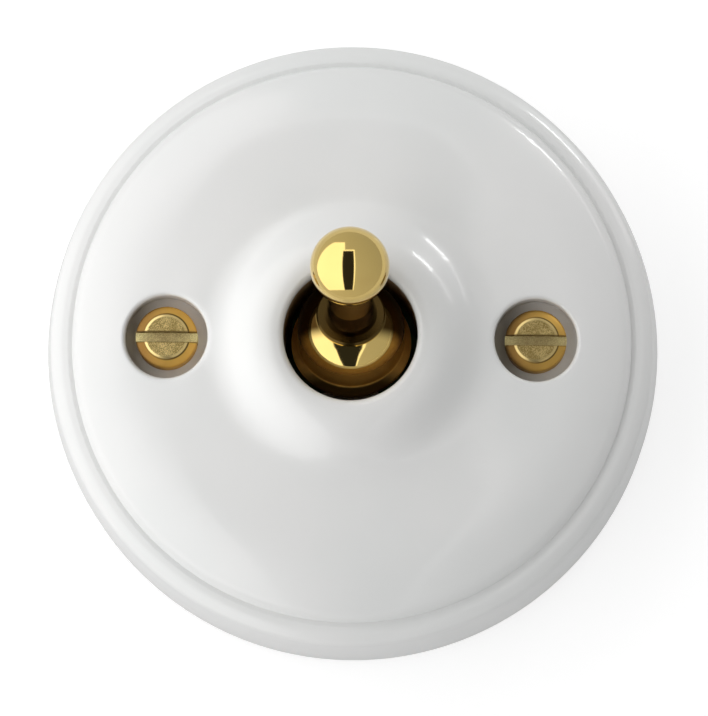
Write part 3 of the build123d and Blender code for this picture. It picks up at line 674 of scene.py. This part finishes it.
def mergedCopy(name):  # a node's mesh as one connected surface
    bpy.ops.object.select_all(action="DESELECT")
    nodes[name].select_set(True)
    bpy.context.view_layer.objects.active = nodes[name]
    bpy.ops.object.duplicate()
    bpy.ops.mesh.customdata_custom_splitnormals_clear()
    bpy.ops.object.mode_set(mode="EDIT")
    bpy.ops.mesh.select_all(action="SELECT")
    bpy.ops.mesh.remove_doubles(threshold=meshCare["merge"])
    bpy.ops.mesh.normals_make_consistent(inside=False)
    bpy.ops.object.mode_set(mode="OBJECT")
    return bpy.context.object


# Base: its shoulder is drawn out, nearly upright, then a soft slope, then flat at the joint
shoulder = {
    "start": 0.0081,
    "joint": 0.01542,  # the small edge above it becomes flat
    "inner": 0.0296,
    "perMetre": 1e5,  # heights are told apart to this fineness
    "slope": [  # radius and drop below the joint, from the joint outwards
        (0.03005, 0.00002), (0.03045, 0.00007), (0.03080, 0.00024), (0.03110, 0.00048), (0.03142, 0.000745),
        (0.03166, 0.00095), (0.03181, 0.00121), (0.03190, 0.00180), (0.03212, 0.00360),
    ],
}


def roundBase():
    base = mergedCopy("porcelain_base")
    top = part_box("porcelain_base")[1].z
    outer = [p for p in base.data.vertices if math.hypot(p.co.x, p.co.y) > shoulder["inner"]]
    edge = [p for p in outer if p.co.z > shoulder["joint"]]
    curved = [p for p in outer if shoulder["start"] < p.co.z < shoulder["joint"]]
    rows = sorted({round(p.co.z * shoulder["perMetre"]) for p in curved}, reverse=True)
    steps = len(shoulder["slope"]) - 1
    for point in edge:
        point.co.z = top
    for point in curved:
        row = rows.index(round(point.co.z * shoulder["perMetre"]))
        place = steps * row / (len(rows) - 1)
        step = min(int(place), steps - 1)
        near, far = [Vector(pair) for pair in shoulder["slope"][step:step + 2]]
        reach, drop = near.lerp(far, place - step)
        grown = reach / math.hypot(point.co.x, point.co.y)
        point.co = (point.co.x * grown, point.co.y * grown, top - drop)
    base.data.update()
    base = wholePiece("base_glazed", porcelain)
    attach(base, "housing")
    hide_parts("porcelain_base")


def smoothLever():  # the lever's own mesh, merged, so that the ball's top shades evenly
    mergedCopy("toggle_lever")
    lever = wholePiece("lever_turned", leverFinish)
    litByStrips.objects.link(lever)
    litByStrips.collection_objects[0].light_linking.link_state = "EXCLUDE"  # no streak on the ball
    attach(lever, "lever")
    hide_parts("toggle_lever")


# Coil spring: round wire wound between the bracket plate and the follower's flange
coil = {
    "wire": 0.00017,  # its radius
    "sides": 12,
    "halfTurns": 7,
    "steps": 14,
    "merge": 0.00001,
    "seat": 0.0094,
    "pressed": 0.837,  # share of the length that is left at full travel
}


def windSpring():
    low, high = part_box("follower_spring")
    bpy.ops.object.select_all(action="DESELECT")
    bpy.ops.mesh.primitive_circle_add(vertices=coil["sides"], radius=coil["wire"])
    spring = bpy.context.object
    bpy.ops.object.mode_set(mode="EDIT")
    bpy.ops.mesh.select_all(action="SELECT")
    bpy.ops.transform.rotate(value=math.pi / 2, orient_axis="X", center_override=(0, 0, 0))
    bpy.ops.transform.translate(value=(high.x - coil["wire"], 0, low.z + coil["wire"]))
    bpy.ops.object.mode_set(mode="OBJECT")
    turns = spring.modifiers.new("turns", "SCREW")
    turns.axis = "Z"
    turns.angle = math.pi
    turns.iterations = coil["halfTurns"]
    turns.screw_offset = (high.z - low.z - 2 * coil["wire"]) / coil["halfTurns"]
    turns.steps = coil["steps"]
    turns.render_steps = coil["steps"]
    bpy.ops.object.modifier_apply(modifier="turns")
    bpy.ops.object.mode_set(mode="EDIT")
    bpy.ops.mesh.select_all(action="SELECT")
    bpy.ops.mesh.remove_doubles(threshold=coil["merge"])
    bpy.ops.mesh.fill_holes(sides=0)
    bpy.ops.mesh.normals_make_consistent(inside=False)
    bpy.ops.object.mode_set(mode="OBJECT")
    spring = wholePiece("spring_coil", springFinish)
    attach(spring, "housing")
    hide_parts("follower_spring")
    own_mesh(spring)


# Choke winding: single turns of enamelled wire round the ring core, and its two leads
choke = {
    "bore": 0.0028,
    "wire": 0.0007,
    "wireSteps": 2,
    "gap": 0.00042,  # from the core to the middle of the wire
    "corner": 0.0006,
    "cornerSteps": 4,
    "turns": 17,
    "arc": 300.0,  # degrees of the ring that are wound
    "slant": 5.0,
    "lead": 0.0004,
    "leadSides": 16,
}


def windChoke():
    low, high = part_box("choke_core")
    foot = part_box("choke_winding")[0].z
    middle = (low + high) / 2
    outer = (high.x - low.x) / 2
    reach = (outer + choke["bore"]) / 2
    bpy.ops.object.select_all(action="DESELECT")
    bpy.ops.mesh.primitive_plane_add(size=1)
    bpy.ops.object.mode_set(mode="EDIT")
    bpy.ops.mesh.select_all(action="SELECT")
    width = outer - choke["bore"] + 2 * choke["gap"]
    bpy.ops.transform.resize(value=(width, high.z - low.z + 2 * choke["gap"], 1), center_override=(0, 0, 0))
    bpy.ops.mesh.bevel(offset=choke["corner"], segments=choke["cornerSteps"], affect="VERTICES")
    bpy.ops.mesh.select_all(action="SELECT")
    bpy.ops.mesh.delete(type="ONLY_FACE")
    bpy.ops.mesh.select_all(action="SELECT")
    bpy.ops.transform.rotate(value=math.pi / 2, orient_axis="X", center_override=(0, 0, 0))
    bpy.ops.transform.rotate(value=math.radians(choke["slant"]), orient_axis="X", center_override=(0, 0, 0))
    bpy.ops.transform.translate(value=(reach, 0, middle.z))
    bpy.ops.object.mode_set(mode="OBJECT")
    bpy.ops.object.convert(target="CURVE")
    bpy.context.object.data.bevel_depth = choke["wire"] / 2
    bpy.context.object.data.bevel_resolution = choke["wireSteps"]
    bpy.ops.object.convert(target="MESH")
    winding = bpy.context.object
    step = math.radians(choke["arc"]) / choke["turns"]
    bpy.ops.object.mode_set(mode="EDIT")
    bpy.ops.mesh.select_all(action="SELECT")
    bpy.ops.transform.rotate(value=step / 2, orient_axis="Z", center_override=(0, 0, 0))
    for _ in range(choke["turns"] - 1):
        bpy.ops.mesh.duplicate()
        bpy.ops.transform.rotate(value=step, orient_axis="Z", center_override=(0, 0, 0))
    bpy.ops.mesh.select_all(action="SELECT")
    bpy.ops.transform.translate(value=(middle.x, middle.y, 0))
    bpy.ops.object.mode_set(mode="OBJECT")
    leads = []
    for side in (-1, 1):
        spot = (middle.x + side * reach, middle.y, (foot + low.z) / 2)
        form = {"vertices": choke["leadSides"], "radius": choke["lead"], "depth": low.z - foot}
        bpy.ops.mesh.primitive_cylinder_add(location=spot, **form)
        leads.append(bpy.context.object)
    bpy.ops.object.select_all(action="DESELECT")
    for piece in leads + [winding]:
        piece.select_set(True)
    bpy.context.view_layer.objects.active = winding
    bpy.ops.object.join()
    winding = wholePiece("choke_turns", enamelFinish)
    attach(winding, "housing")
    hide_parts("choke_winding")


roundBase()
smoothLever()
windSpring()
windChoke()
print("base rounded, lever smoothed, spring and choke wound")
